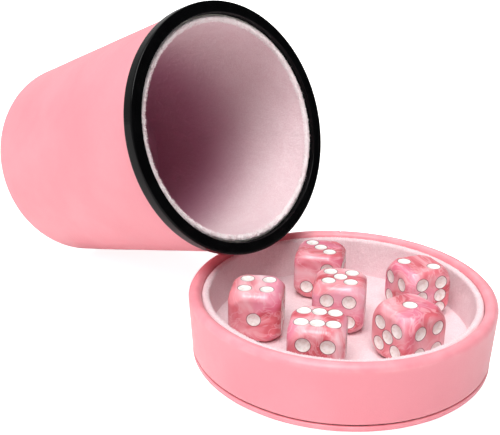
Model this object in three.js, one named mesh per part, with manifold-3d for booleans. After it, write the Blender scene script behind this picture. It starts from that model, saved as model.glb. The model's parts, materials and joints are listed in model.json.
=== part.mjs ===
// A leather dice cup lying beside its lid, with its wall resting on the lid's rim and its mouth over
// the lid's felt-lined tray, which holds six dice. Millimetres, +Z up. The origin is the centre of the
// lid's underside, and +X is the heading of the cup's axis from its base to its mouth.
import * as THREE from 'three';
import { mergeVertices } from 'three/addons/utils/BufferGeometryUtils.js';
import { RoundedBoxGeometry } from 'three/addons/geometries/RoundedBoxGeometry.js';
import Module from 'manifold-3d';

const wasm = await Module();
wasm.setup();

// ---- Driving dimensions ----------------------------------------------------------------------

const GAP = 0.3; // clear space between neighbouring pieces
const TURN_STEPS = 56; // segments round every turned piece
const ARC_STEPS = 2; // a rounded edge gets twice this many segments

// The lid, used here as a tray: its wall leans outward from the foot to the rim.
const LID_RADIUS = 46.5;
const LID_FOOT_RADIUS = 45.6;
const LID_HEIGHT = 20.35;
const LID_RIM_ROLL = 1.95; // half the width of the rolled leather rim
const LID_LEATHER = 0.85;
const LID_SHELL_WALL = 1.6;
const LID_SHELL_FLOOR = 1.4;
const LID_BASE_HEIGHT = 1.8; // the covered disc under the lid, below the groove
const LID_BASE_LEATHER = 0.75;
const LID_HEM_DEPTH = 12; // how far the leather runs down inside the wall
const LID_HEM_RADIUS = 38; // inner edge of the leather turned under the shell
const LID_LINER_STRIP = 0.7;
const LID_FELT = 1.0;

// The cup: its wall widens from the base to the mouth.
const CUP_LENGTH = 92.2;
const CUP_BASE_RADIUS = 37.0;
const CUP_MOUTH_RADIUS = 39.7;
const CUP_LEATHER = 0.9;
const CUP_SHELL_WALL = 2.3;
const CUP_SHELL_FLOOR = 2.0;
const CUP_FELT = 1.5;
const CUP_FELT_TOP = 90.7; // the soft edge of the felt, up inside the ring's bore
const CUP_HEEL_ROUNDING = 2.0;
const CUP_HEM_RADIUS = 31.0; // inner edge of the leather turned under the base
const CUP_BASE_BOARD = 1.2;

// The rim ring: a flat flange over the wall's edge, with a skirt round the leather.
const RING_RADIUS = 40.55;
const RING_BORE_RADIUS = 36.5;
const RING_FLANGE = 2.0;
const RING_SKIRT = 3.95;
const RING_ROUNDING = 0.55;

// Where the cup lies: its mouth's centre in plan, and the tilt at which the heel stands on the surface
// while the wall lies on the lid's rim.
const CUP_TILT = THREE.MathUtils.degToRad(17.61);
const MOUTH_X = -41.97;
const MOUTH_Y = -2.5;

// The dice, and how each one lies in the tray: its centre, its turn, the number on top and the
// number that its own right side shows before the turn.
const DIE_SIZE = 16;
const DIE_ROUNDING = 2.4;
const PIP_RADIUS = 2.15;
const PIP_DEPTH = 0.6;
const PIP_SPACING = 3.35; // from a face's centre to a pip's row, on all faces but the six's long rows
const SIX_SPACING = 4.4; // between neighbours in the six's long rows
const PIP_SIDES = 12;
const DICE = [
  { x: -16.3, y: -19.9, turn: 35.8, top: 4, right: 5 },
  { x: 10.3, y: -23.4, turn: 33.9, top: 6, right: 5 },
  { x: -1.4, y: 1.6, turn: 33.0, top: 5, right: 1 },
  { x: -20.4, y: 15.4, turn: 31.1, top: 3, right: 6 },
  { x: 10.6, y: 26.6, turn: -25.3, top: 2, right: 6 },
  { x: 24.4, y: 0.4, turn: -12.7, top: 1, right: 4 },
];

// ---- Materials -------------------------------------------------------------------------------

function material(color, roughness) {
  return new THREE.MeshStandardMaterial({ color, roughness, metalness: 0 });
}

const pinkLeather = () => material(0xffaab4, 0.5);
const paleFelt = () => material(0xe9c6cd, 0.95);
const greyBoard = () => material(0xa8a093, 0.9);
const whiteCore = () => material(0xe8e4df, 0.45);
const blackPlastic = () => material(0x0a0a0b, 0.2);
const pearlPlastic = () => material(0xe0707f, 0.15);

// ---- Building turned pieces ------------------------------------------------------------------

// A piece turned round +Z. The outline holds radius and height, and runs anticlockwise, either
// from axis to axis or closed on itself.
function turned(name, outline, surface) {
  const geometry = new THREE.LatheGeometry(outline.getPoints(ARC_STEPS), TURN_STEPS);
  geometry.rotateX(Math.PI / 2);
  const mesh = new THREE.Mesh(geometry, surface);
  mesh.name = name;
  return mesh;
}

// A flat disc from one height to another, with its lower edge rounded if asked.
function disc(name, radius, bottom, top, surface, rounding = 0) {
  const outline = new THREE.Path();
  outline.moveTo(0, bottom);
  outline.lineTo(radius - rounding, bottom);
  if (rounding > 0) {
    outline.absarc(radius - rounding, bottom + rounding, rounding, -Math.PI / 2, 0);
  }
  outline.lineTo(radius, top);
  outline.lineTo(0, top);
  return turned(name, outline, surface);
}

// The radius of the lid's wall at a height, a given depth in from its outer face.
function lidWall(depth, height) {
  const lean = (LID_RADIUS - LID_FOOT_RADIUS) / LID_HEIGHT;
  return LID_FOOT_RADIUS + lean * height - depth;
}

// The radius of the cup's wall at a height above its base, a given depth in from its outer face.
function cupWall(depth, height) {
  const lean = (CUP_MOUTH_RADIUS - CUP_BASE_RADIUS) / CUP_LENGTH;
  return CUP_BASE_RADIUS + lean * height - depth;
}

// ---- The lid ---------------------------------------------------------------------------------

// Heights in the lid's stack, from the surface that it stands on.
const LID_HEM_BOTTOM = LID_BASE_HEIGHT + GAP;
const LID_SHELL_BOTTOM = LID_HEM_BOTTOM + LID_LEATHER + GAP;
const LID_SHELL_TOP_OF_FLOOR = LID_SHELL_BOTTOM + LID_SHELL_FLOOR;
const TRAY_FLOOR_BOTTOM = LID_SHELL_TOP_OF_FLOOR + GAP;
const TRAY_FLOOR = TRAY_FLOOR_BOTTOM + LID_FELT;
const LID_ROLL_HEIGHT = LID_HEIGHT - LID_RIM_ROLL;
const LINER_TOP = LID_HEIGHT - 1.2;

// Depths into the lid's wall, from its outer face.
const LID_SHELL_OUT = LID_LEATHER + GAP;
const LID_SHELL_IN = LID_SHELL_OUT + LID_SHELL_WALL;
const LID_HEM_OUT = LID_SHELL_IN + GAP;
const LID_HEM_IN = 2 * LID_RIM_ROLL;
const LID_STRIP_OUT = LID_HEM_IN + GAP;
const LID_STRIP_IN = LID_STRIP_OUT + LID_LINER_STRIP;
const LID_FELT_OUT = LID_STRIP_IN + GAP;
const LID_FELT_IN = LID_FELT_OUT + LID_FELT;

// The leather: turned under the shell, up the wall, over the rim and down inside.
function lidLeatherWrap() {
  const edge = 1.0;
  const hemEnd = LID_HEIGHT - LID_HEM_DEPTH;
  const rimRadius = lidWall(LID_RIM_ROLL, LID_ROLL_HEIGHT);
  const innerBottom = LID_HEM_BOTTOM + LID_LEATHER;
  const outline = new THREE.Path();
  outline.moveTo(LID_HEM_RADIUS, LID_HEM_BOTTOM);
  outline.lineTo(lidWall(edge, LID_HEM_BOTTOM), LID_HEM_BOTTOM);
  outline.absarc(lidWall(edge, LID_HEM_BOTTOM), LID_HEM_BOTTOM + edge, edge, -Math.PI / 2, 0);
  outline.absarc(rimRadius, LID_ROLL_HEIGHT, LID_RIM_ROLL, 0, Math.PI);
  outline.lineTo(lidWall(LID_HEM_IN, hemEnd), hemEnd);
  outline.lineTo(lidWall(LID_HEM_OUT, hemEnd), hemEnd);
  outline.absarc(rimRadius, LID_ROLL_HEIGHT, LID_RIM_ROLL - LID_LEATHER, Math.PI, 0, true);
  outline.lineTo(lidWall(LID_LEATHER, innerBottom), innerBottom);
  outline.lineTo(LID_HEM_RADIUS, innerBottom);
  outline.closePath();
  return turned('lid_leather_wrap', outline, pinkLeather());
}

function lidShell() {
  const halfWall = LID_SHELL_WALL / 2;
  const rimRadius = lidWall(LID_RIM_ROLL, LID_ROLL_HEIGHT);
  const outline = new THREE.Path();
  outline.moveTo(0, LID_SHELL_BOTTOM);
  outline.lineTo(lidWall(LID_SHELL_OUT, LID_SHELL_BOTTOM), LID_SHELL_BOTTOM);
  outline.absarc(rimRadius, LID_ROLL_HEIGHT, halfWall, 0, Math.PI);
  outline.lineTo(lidWall(LID_SHELL_IN, LID_SHELL_TOP_OF_FLOOR), LID_SHELL_TOP_OF_FLOOR);
  outline.lineTo(0, LID_SHELL_TOP_OF_FLOOR);
  return turned('lid_shell', outline, whiteCore());
}

// The leather cover of the disc under the lid: a shallow dish round the board.
function lidBaseLeather() {
  const edge = 0.7;
  const inside = LID_FOOT_RADIUS - LID_BASE_LEATHER;
  const outline = new THREE.Path();
  outline.moveTo(0, 0);
  outline.lineTo(LID_FOOT_RADIUS - edge, 0);
  outline.absarc(LID_FOOT_RADIUS - edge, edge, edge, -Math.PI / 2, 0);
  outline.lineTo(LID_FOOT_RADIUS, LID_BASE_HEIGHT);
  outline.lineTo(inside, LID_BASE_HEIGHT);
  outline.lineTo(inside, LID_BASE_LEATHER);
  outline.lineTo(0, LID_BASE_LEATHER);
  return turned('lid_base_leather', outline, pinkLeather());
}

function lidBaseBoard() {
  const radius = LID_FOOT_RADIUS - LID_BASE_LEATHER - GAP;
  return disc('lid_base_board', radius, LID_BASE_LEATHER + GAP, LID_BASE_HEIGHT, greyBoard());
}

function lidFeltFloor() {
  const radius = lidWall(LID_SHELL_IN + GAP, TRAY_FLOOR_BOTTOM);
  return disc('lid_felt_floor', radius, TRAY_FLOOR_BOTTOM, TRAY_FLOOR, paleFelt());
}

// The stiff card strip that holds the felt lining against the wall.
function lidLinerStrip() {
  const bottom = TRAY_FLOOR + GAP;
  const top = LINER_TOP - LID_FELT - GAP;
  const outline = new THREE.Path();
  outline.moveTo(lidWall(LID_STRIP_IN, bottom), bottom);
  outline.lineTo(lidWall(LID_STRIP_OUT, bottom), bottom);
  outline.lineTo(lidWall(LID_STRIP_OUT, top), top);
  outline.lineTo(lidWall(LID_STRIP_IN, top), top);
  outline.closePath();
  return turned('lid_liner_strip', outline, greyBoard());
}

// The felt lining of the wall, folded over the top of its card strip.
function lidFeltWall() {
  const bottom = TRAY_FLOOR + GAP;
  const foldBottom = LINER_TOP - LID_FELT;
  const edge = 0.6;
  const outline = new THREE.Path();
  outline.moveTo(lidWall(LID_FELT_IN, bottom), bottom);
  outline.lineTo(lidWall(LID_FELT_OUT, bottom), bottom);
  outline.lineTo(lidWall(LID_FELT_OUT, foldBottom), foldBottom);
  outline.lineTo(lidWall(LID_STRIP_OUT, foldBottom), foldBottom);
  outline.lineTo(lidWall(LID_STRIP_OUT, LINER_TOP), LINER_TOP);
  outline.absarc(lidWall(LID_FELT_IN - edge, LINER_TOP), LINER_TOP - edge, edge, Math.PI / 2, Math.PI);
  outline.closePath();
  return turned('lid_felt_wall', outline, paleFelt());
}

function lid() {
  const group = new THREE.Group();
  group.add(lidShell(), lidLeatherWrap(), lidBaseLeather(), lidBaseBoard());
  group.add(lidFeltFloor(), lidLinerStrip(), lidFeltWall());
  return group;
}

// ---- The cup, standing on its base with the mouth up -------------------------------------------

// Heights in the cup's stack, from the plane of its base.
const CUP_BOARD_BOTTOM = CUP_LEATHER + GAP;
const CUP_SHELL_BOTTOM = CUP_BOARD_BOTTOM + CUP_BASE_BOARD + GAP;
const CUP_SHELL_TOP_OF_FLOOR = CUP_SHELL_BOTTOM + CUP_SHELL_FLOOR;
const CUP_FELT_BOTTOM = CUP_SHELL_TOP_OF_FLOOR + GAP;
const CUP_FELT_TOP_OF_FLOOR = CUP_FELT_BOTTOM + CUP_FELT;
const CUP_WALL_TOP = CUP_LENGTH - RING_FLANGE - GAP;

// Depths into the cup's wall, from its outer face.
const CUP_SHELL_OUT = CUP_LEATHER + GAP;
const CUP_SHELL_IN = CUP_SHELL_OUT + CUP_SHELL_WALL;
const CUP_FELT_OUT = CUP_SHELL_IN + GAP;
const CUP_FELT_IN = CUP_FELT_OUT + CUP_FELT;

// The leather: turned under the base, round the heel and up the wall to the ring.
function cupLeatherWrap() {
  const heelRadius = cupWall(CUP_HEEL_ROUNDING, CUP_HEEL_ROUNDING);
  const innerRounding = CUP_HEEL_ROUNDING - CUP_LEATHER;
  const outline = new THREE.Path();
  outline.moveTo(CUP_HEM_RADIUS, 0);
  outline.lineTo(heelRadius, 0);
  outline.absarc(heelRadius, CUP_HEEL_ROUNDING, CUP_HEEL_ROUNDING, -Math.PI / 2, 0);
  outline.lineTo(cupWall(0, CUP_WALL_TOP), CUP_WALL_TOP);
  outline.lineTo(cupWall(CUP_LEATHER, CUP_WALL_TOP), CUP_WALL_TOP);
  outline.absarc(heelRadius, CUP_HEEL_ROUNDING, innerRounding, 0, -Math.PI / 2, true);
  outline.lineTo(CUP_HEM_RADIUS, CUP_LEATHER);
  outline.closePath();
  return turned('cup_leather_wrap', outline, pinkLeather());
}

function cupShell() {
  const outline = new THREE.Path();
  outline.moveTo(0, CUP_SHELL_BOTTOM);
  outline.lineTo(cupWall(CUP_SHELL_OUT, CUP_SHELL_BOTTOM), CUP_SHELL_BOTTOM);
  outline.lineTo(cupWall(CUP_SHELL_OUT, CUP_WALL_TOP), CUP_WALL_TOP);
  outline.lineTo(cupWall(CUP_SHELL_IN, CUP_WALL_TOP), CUP_WALL_TOP);
  outline.lineTo(cupWall(CUP_SHELL_IN, CUP_SHELL_TOP_OF_FLOOR), CUP_SHELL_TOP_OF_FLOOR);
  outline.lineTo(0, CUP_SHELL_TOP_OF_FLOOR);
  return turned('cup_shell', outline, whiteCore());
}

function cupBaseLeather() {
  return disc('cup_base_leather', CUP_HEM_RADIUS - GAP, 0, CUP_LEATHER, pinkLeather());
}

function cupBaseBoard() {
  const radius = cupWall(CUP_SHELL_OUT, CUP_BOARD_BOTTOM);
  const top = CUP_BOARD_BOTTOM + CUP_BASE_BOARD;
  const rounding = CUP_HEEL_ROUNDING - CUP_LEATHER - GAP;
  return disc('cup_base_board', radius, CUP_BOARD_BOTTOM, top, greyBoard(), rounding);
}

function cupFeltFloor() {
  const radius = cupWall(CUP_FELT_OUT, CUP_FELT_BOTTOM);
  return disc('cup_felt_floor', radius, CUP_FELT_BOTTOM, CUP_FELT_TOP_OF_FLOOR, paleFelt());
}

function cupFeltWall() {
  const bottom = CUP_FELT_TOP_OF_FLOOR + GAP;
  const half = CUP_FELT / 2;
  const edgeHeight = CUP_FELT_TOP - half;
  const outline = new THREE.Path();
  outline.moveTo(cupWall(CUP_FELT_IN, bottom), bottom);
  outline.lineTo(cupWall(CUP_FELT_OUT, bottom), bottom);
  outline.absarc(cupWall(CUP_FELT_OUT + half, edgeHeight), edgeHeight, half, 0, Math.PI);
  outline.closePath();
  return turned('cup_felt_wall', outline, paleFelt());
}

// The black ring: its flange covers the edges of the shell and the leather, and its skirt closes
// round the leather.
function cupRimRing() {
  const flangeBottom = CUP_LENGTH - RING_FLANGE;
  const skirtBottom = CUP_LENGTH - RING_SKIRT;
  const skirtInside = cupWall(-GAP, skirtBottom);
  const outline = new THREE.Path();
  outline.moveTo(RING_BORE_RADIUS, flangeBottom);
  outline.lineTo(skirtInside, flangeBottom);
  outline.lineTo(skirtInside, skirtBottom);
  outline.lineTo(RING_RADIUS, skirtBottom);
  outline.absarc(RING_RADIUS - RING_ROUNDING, CUP_LENGTH - RING_ROUNDING, RING_ROUNDING, 0, Math.PI / 2);
  outline.absarc(
    RING_BORE_RADIUS + RING_ROUNDING, CUP_LENGTH - RING_ROUNDING, RING_ROUNDING, Math.PI / 2, Math.PI);
  outline.closePath();
  return turned('cup_rim_ring', outline, blackPlastic());
}

// The cup lies with its axis tipped up from +X. Its base's centre is as high as the heel's rounding
// needs to touch the surface.
function cup() {
  const group = new THREE.Group();
  group.add(cupShell(), cupLeatherWrap(), cupBaseLeather(), cupBaseBoard());
  group.add(cupFeltFloor(), cupFeltWall(), cupRimRing());
  group.rotation.y = Math.PI / 2 - CUP_TILT;
  const heelRadius = cupWall(CUP_HEEL_ROUNDING, CUP_HEEL_ROUNDING);
  const heelDrop = CUP_HEEL_ROUNDING * (1 - Math.sin(CUP_TILT));
  const baseHeight = heelRadius * Math.cos(CUP_TILT) + heelDrop;
  group.position.set(MOUTH_X - CUP_LENGTH * Math.cos(CUP_TILT), MOUTH_Y, baseHeight);
  return group;
}

// ---- The dice --------------------------------------------------------------------------------

// The way each number faces on a die. Opposite faces add up to seven.
const FACE_NORMAL = {
  1: new THREE.Vector3(0, 0, 1),
  2: new THREE.Vector3(-1, 0, 0),
  3: new THREE.Vector3(0, -1, 0),
  4: new THREE.Vector3(0, 1, 0),
  5: new THREE.Vector3(1, 0, 0),
  6: new THREE.Vector3(0, 0, -1),
};

// Pip places on each face, in steps along the two axes that lie in the face, in X, Y, Z order.
const CORNERS = [[-1, -1], [-1, 1], [1, -1], [1, 1]];
const PIP_PLACES = {
  1: [[0, 0]],
  2: [[-1, -1], [1, 1]],
  3: [[-1, -1], [0, 0], [1, 1]],
  4: CORNERS,
  5: [...CORNERS, [0, 0]],
  6: [...CORNERS, [0, -1], [0, 1]],
};

function solidFrom(geometry) {
  geometry.deleteAttribute('normal');
  geometry.deleteAttribute('uv');
  const welded = mergeVertices(geometry, 1e-4);
  return new wasm.Manifold(new wasm.Mesh({
    numProp: 3,
    vertProperties: new Float32Array(welded.attributes.position.array),
    triVerts: new Uint32Array(welded.index.array),
  }));
}

function geometryFrom(solid) {
  const mesh = solid.getMesh();
  const geometry = new THREE.BufferGeometry();
  geometry.setAttribute('position', new THREE.BufferAttribute(mesh.vertProperties, mesh.numProp));
  geometry.setIndex(new THREE.BufferAttribute(mesh.triVerts, 1));
  geometry.computeVertexNormals();
  return geometry;
}

// The cutter for one pip: a shallow bowl with its axis along +Y and its rim at the height zero.
function pipCutter() {
  const proud = 0.8;
  const bowl = [
    new THREE.Vector2(0, -PIP_DEPTH),
    new THREE.Vector2(PIP_RADIUS * 0.62, -PIP_DEPTH * 0.68),
    new THREE.Vector2(PIP_RADIUS, 0),
    new THREE.Vector2(PIP_RADIUS, proud),
    new THREE.Vector2(0, proud),
  ];
  return new THREE.LatheGeometry(bowl, PIP_SIDES);
}

// The centre of a pip on the surface of a die, from its face and its place there.
function pipCentre(number, place) {
  const [first, second] = place;
  const step = number === 6 ? SIX_SPACING : PIP_SPACING;
  const inFace = [first * step, second * PIP_SPACING];
  const normal = FACE_NORMAL[number].toArray();
  const centre = normal.map((part) => (part === 0 ? inFace.shift() : part * DIE_SIZE / 2));
  return new THREE.Vector3(...centre);
}

// One die's body with its twenty-one pips cut in.
function dieSolid() {
  let solid = solidFrom(new RoundedBoxGeometry(DIE_SIZE, DIE_SIZE, DIE_SIZE, 2, DIE_ROUNDING));
  const up = new THREE.Vector3(0, 1, 0);
  for (const number of [1, 2, 3, 4, 5, 6]) {
    const turn = new THREE.Quaternion().setFromUnitVectors(up, FACE_NORMAL[number]);
    for (const place of PIP_PLACES[number]) {
      const cutter = pipCutter().applyQuaternion(turn);
      const { x, y, z } = pipCentre(number, place);
      solid = solid.subtract(solidFrom(cutter.translate(x, y, z)));
    }
  }
  return solid;
}

// The turn that brings one number to the top and another to the right.
function faceTurn(top, right) {
  const up = FACE_NORMAL[top];
  const across = FACE_NORMAL[right];
  const back = new THREE.Vector3().crossVectors(up, across);
  const basis = new THREE.Matrix4().makeBasis(across, back, up);
  return new THREE.Quaternion().setFromRotationMatrix(basis.invert());
}

// The six dice on the tray's floor.
function dice() {
  const group = new THREE.Group();
  const body = geometryFrom(dieSolid());
  DICE.forEach((place, index) => {
    const mesh = new THREE.Mesh(body.clone(), pearlPlastic());
    mesh.name = `die_${index + 1}`;
    mesh.quaternion.copy(faceTurn(place.top, place.right));
    const turner = new THREE.Group();
    turner.position.set(place.x, place.y, TRAY_FLOOR + GAP + DIE_SIZE / 2);
    turner.rotation.z = THREE.MathUtils.degToRad(place.turn);
    turner.add(mesh);
    group.add(turner);
  });
  return group;
}

const diceCup = new THREE.Group();
diceCup.add(lid(), cup(), dice());

export default diceCup;
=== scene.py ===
"""Looks of a leather dice cup that lies on the rim of its felt-lined lid, with six dice in the lid.

Sizes are millimetres until a mesh is made, and metres from then on. The cup's pieces are made standing
on their base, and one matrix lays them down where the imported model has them. The cup's and the lid's
skins are turned outlines with a little seeded relief, and the dice are rounded cubes with bowls pressed
in for the pips.
"""

import json
import math
from collections import namedtuple

import bpy
import numpy as np
from mathutils import Matrix, Vector


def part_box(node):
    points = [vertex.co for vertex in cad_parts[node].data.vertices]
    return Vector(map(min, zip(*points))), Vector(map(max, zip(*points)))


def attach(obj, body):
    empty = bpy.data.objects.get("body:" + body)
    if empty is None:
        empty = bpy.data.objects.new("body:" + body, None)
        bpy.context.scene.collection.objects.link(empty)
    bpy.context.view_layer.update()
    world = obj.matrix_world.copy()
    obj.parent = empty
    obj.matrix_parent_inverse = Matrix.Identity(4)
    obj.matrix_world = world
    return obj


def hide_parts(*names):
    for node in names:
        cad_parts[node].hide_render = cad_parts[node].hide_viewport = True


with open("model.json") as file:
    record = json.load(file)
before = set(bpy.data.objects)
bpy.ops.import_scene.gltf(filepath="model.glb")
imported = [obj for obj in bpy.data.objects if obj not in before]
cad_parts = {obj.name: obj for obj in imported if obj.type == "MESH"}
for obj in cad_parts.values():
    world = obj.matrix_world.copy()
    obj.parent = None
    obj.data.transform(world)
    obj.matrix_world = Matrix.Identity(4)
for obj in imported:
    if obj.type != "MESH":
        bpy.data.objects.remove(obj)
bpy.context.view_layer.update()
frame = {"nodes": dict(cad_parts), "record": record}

MM = 0.001

# ---- Sizes in millimetres, as in the CAD model unless a note says otherwise ----

GAP = 0.3  # between neighbouring pieces

LID_RADIUS = 46.5
LID_FOOT_RADIUS = 45.6
LID_HEIGHT = 20.35
LID_RIM_ROLL = 1.95  # half the width of the rolled leather rim
LID_ROLL_HEIGHT = LID_HEIGHT - LID_RIM_ROLL
LID_LEATHER = 0.85
LID_BASE_HEIGHT = 1.8  # the covered disc below the groove
LID_BASE_LEATHER = 0.75
LID_HEM_BOTTOM = LID_BASE_HEIGHT + GAP
LID_HEM_DEPTH = 12.0
LID_HEM_RADIUS = 38.0
LID_FELT_TOP = LID_HEIGHT - 1.2
TRAY_FLOOR_BOTTOM = 4.95
TRAY_FLOOR = 5.95

# Depths into the lid's wall, from its outer face.
LID_SHELL_IN = 2.75
LID_HEM_OUT = 3.05
LID_HEM_IN = 3.9
LID_STRIP_OUT = 4.2
LID_FELT_OUT = 5.2
LID_FELT_IN = 6.2

CUP_LENGTH = 92.2
CUP_BASE_RADIUS = 37.0
CUP_MOUTH_RADIUS = 39.7
CUP_LEATHER = 0.9
CUP_HEEL = 2.0
CUP_HEM_RADIUS = 31.0
CUP_FELT_BOTTOM = 5.0
CUP_FLOOR = 6.5
CUP_WALL_TOP = 89.9
CUP_FELT_TOP = 90.7

# Depths into the cup's wall, from its outer face.
CUP_FELT_OUT = 3.8
CUP_FELT_IN = 5.3

RING_RADIUS = 40.55
RING_BORE = 36.5
RING_FLANGE = 2.0
RING_SKIRT = 3.95
RING_SKIRT_IN = 39.88

DIE_HALF = 8.0
DIE_ROUNDING = 2.4
DIE_CORNER_BALL = 10.95  # the ball that the corners are tumbled to, which the CAD leaves out
DIE_CELLS = 72  # grid cells along a face
PIP_RADIUS = 2.15
PIP_DEPTH = 0.5  # of a smooth bowl, a little less than the CAD's faceted one
PIP_SPACING = 3.35
SIX_SPACING = 4.4

# Each die's turn in degrees, the number on top and the number on the right before the turn.
DICE = {
    "die_1": (35.8, 4, 5),
    "die_2": (33.9, 6, 5),
    "die_3": (33.0, 5, 1),
    "die_4": (31.1, 3, 6),
    "die_5": (-25.3, 2, 6),
    "die_6": (-12.7, 1, 4),
}

FACE_NORMAL = {
    1: (0, 0, 1), 2: (-1, 0, 0), 3: (0, -1, 0), 4: (0, 1, 0), 5: (1, 0, 0), 6: (0, 0, -1),
}
CORNER_PIPS = [(-1, -1), (-1, 1), (1, -1), (1, 1)]
PIP_PLACES = {
    1: [(0, 0)],
    2: [(-1, -1), (1, 1)],
    3: [(-1, -1), (0, 0), (1, 1)],
    4: CORNER_PIPS,
    5: CORNER_PIPS + [(0, 0)],
    6: CORNER_PIPS + [(0, -1), (0, 1)],
}


def lid_wall(depth, height):
    """The radius of the lid's wall at a height, a depth in from its outer face."""
    return LID_FOOT_RADIUS + (LID_RADIUS - LID_FOOT_RADIUS) * height / LID_HEIGHT - depth


def cup_wall(depth, height):
    """The radius of the cup's wall at a height above its base, a depth in from its outer face."""
    return CUP_BASE_RADIUS + (CUP_MOUTH_RADIUS - CUP_BASE_RADIUS) * height / CUP_LENGTH - depth


def cup_matrix():
    """The place of the cup's base and axes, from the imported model's own mount on the base."""
    mount = next(m for m in frame["record"]["mounts"] if m["name"] == "cup_base")
    axis = -Vector(mount["axis"]).normalized()
    side = Vector((0, 1, 0))
    across = side.cross(axis)
    turn = Matrix((across, side, axis)).transposed().to_4x4()
    return Matrix.Translation(Vector(mount["pos_m"])) @ turn


# ---- Outlines and turned pieces ----

SAME_POINT = 1e-6


class Outline:
    """Points (radius, height) run anticlockwise, from axis to axis or closed on itself."""

    def __init__(self, radius, height, step):
        """Starts at a point. step is the usual spacing of points on a straight stretch."""
        self.points = [(radius, height)]
        self.step = step

    def line(self, radius, height, step=None):
        """A straight stretch to a point."""
        start = np.array(self.points[-1])
        end = np.array((radius, height))
        count = max(1, math.ceil(np.linalg.norm(end - start) / (step or self.step)))
        for share in np.arange(1, count + 1) / count:
            self.points.append(tuple(start + (end - start) * share))

    def arc(self, radius, height, size, start, end, steps=8):
        """A round stretch about a centre, from one angle to another in degrees, joined by a line."""
        angles = np.radians(np.linspace(start, end, steps + 1))
        first = (radius + size * math.cos(angles[0]), height + size * math.sin(angles[0]))
        if math.dist(first, self.points[-1]) > SAME_POINT:
            self.line(*first)
        for angle in angles[1:]:
            self.points.append((radius + size * math.cos(angle), height + size * math.sin(angle)))

    def array(self):
        """The points, without the last one where it repeats the first."""
        points = self.points
        if math.dist(points[0], points[-1]) < SAME_POINT:
            points = points[:-1]
        return np.array(points)


RIPPLE_WAVES = 18
RIPPLE_SPREAD = (0.7, 1.3)
RIPPLE_PEAK = 2.2  # a usual peak, in standard deviations


def ripple(points, wavelength, seed):
    """Smooth seeded relief, mostly from -1 to 1, at points (n, 3)."""
    rng = np.random.default_rng(seed)
    direction = rng.normal(size=(RIPPLE_WAVES, 3))
    direction /= np.linalg.norm(direction, axis=1)[:, None]
    reach = 2 * math.pi / wavelength * rng.uniform(*RIPPLE_SPREAD, (RIPPLE_WAVES, 1))
    phase = rng.uniform(0, 2 * math.pi, RIPPLE_WAVES)
    value = np.sin(points @ (direction * reach).T + phase).sum(1)
    return value / math.sqrt(RIPPLE_WAVES / 2) / RIPPLE_PEAK


def ripples(points, layers):
    """Relief in millimetres, added up from layers of (height, wavelength, seed)."""
    return sum(height * ripple(points, wavelength, seed) for height, wavelength, seed in layers)


SEAM_REACH = 2.0  # points are closer together within this distance of a seam
SEAM_POINTS = 33
SEAM_CLEAR = 0.4  # no other point comes this close to those


def turn_angles(steps, seam=None, radius=40.0):
    """Angles round a turned piece, closer together beside a seam at so many degrees."""
    angles = np.arange(steps) * 2 * math.pi / steps
    if seam is not None:
        near = math.radians(seam) + np.linspace(-SEAM_REACH, SEAM_REACH, SEAM_POINTS) / radius
        gap = np.abs((angles[:, None] - near + math.pi) % (2 * math.pi) - math.pi).min(1)
        angles = np.concatenate([angles[gap > SEAM_CLEAR / radius], near % (2 * math.pi)])
    return np.sort(angles)


WORN_AND_LIT_RADIUS = 1.6  # an edge this tight or tighter gets the full paler edge, of wear and of painted highlight
TINY = 1e-9


def edge_wear_and_highlight(profile, closed):
    """How sharply an outline bends at each point, from 0 on a flat stretch to 1 on a tight edge."""
    if closed:
        before, after = np.roll(profile, 1, 0), np.roll(profile, -1, 0)
    else:
        before = np.vstack([profile[:1], profile[:-1]])
        after = np.vstack([profile[1:], profile[-1:]])
    one, two = profile - before, after - profile
    one_size, two_size = np.linalg.norm(one, axis=1), np.linalg.norm(two, axis=1)
    sine = np.abs(one[:, 0] * two[:, 1] - one[:, 1] * two[:, 0]) / (one_size * two_size + TINY)
    length = (one_size + two_size) / 2 + TINY
    return np.clip(np.arcsin(np.clip(sine, 0, 1)) / length * WORN_AND_LIT_RADIUS, 0, 1)


def outline_normals(profile, closed):
    """Unit normals in the outline's plane, out of the material."""
    if closed:
        along = np.roll(profile, -1, 0) - np.roll(profile, 1, 0)
    else:
        along = np.gradient(profile, axis=0)
    normal = np.stack([along[:, 1], -along[:, 0]], 1)
    return normal / (np.linalg.norm(normal, axis=1)[:, None] + TINY)


def make_object(name, points, faces, smooth_angle=40.0):
    """A mesh object from points in millimetres, smooth but for its sharp edges."""
    mesh = bpy.data.meshes.new(name)
    mesh.from_pydata((np.asarray(points) * MM).tolist(), [], faces)
    mesh.validate()
    mesh.shade_smooth()
    mesh.set_sharp_from_angle(angle=math.radians(smooth_angle))
    piece = bpy.data.objects.new(name, mesh)
    bpy.context.scene.collection.objects.link(piece)
    return piece


def add_attribute(piece, name, values):
    """A number or a vector at each point of a piece, for its material to read."""
    values = np.asarray(values, np.float32)
    kind, field = ("FLOAT", "value") if values.ndim == 1 else ("FLOAT_VECTOR", "vector")
    attribute = piece.data.attributes.new(name, kind, "POINT")
    attribute.data.foreach_set(field, values.ravel())


Spots = namedtuple("Spots", "points angle radius height")


def round_axis(radius, height, angle):
    """Points (n, 3) from their radii, heights and angles round +Z."""
    return np.stack([radius * np.cos(angle), radius * np.sin(angle), height], 1)


def turned_faces(count, turns, closed):
    """Faces between the turns of an outline with count points, and the points that they use.

    An outline from axis to axis shares its two end points between all turns, in triangles.
    """
    index = np.arange(turns * count).reshape(turns, count)
    if not closed:
        index[:, 0] = index[0, 0]
        index[:, -1] = index[0, -1]
    ahead = np.roll(index, -1, 0)
    faces = []
    for j in range(count if closed else count - 1):
        k = (j + 1) % count
        ring = np.stack([index[:, j], ahead[:, j], ahead[:, k], index[:, k]], 1).tolist()
        if not closed and j == 0:
            ring = [[a, c, d] for a, _, c, d in ring]
        elif not closed and k == count - 1:
            ring = [[a, b, c] for a, b, c, _ in ring]
        faces += ring
    return faces, np.unique(index)


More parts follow.
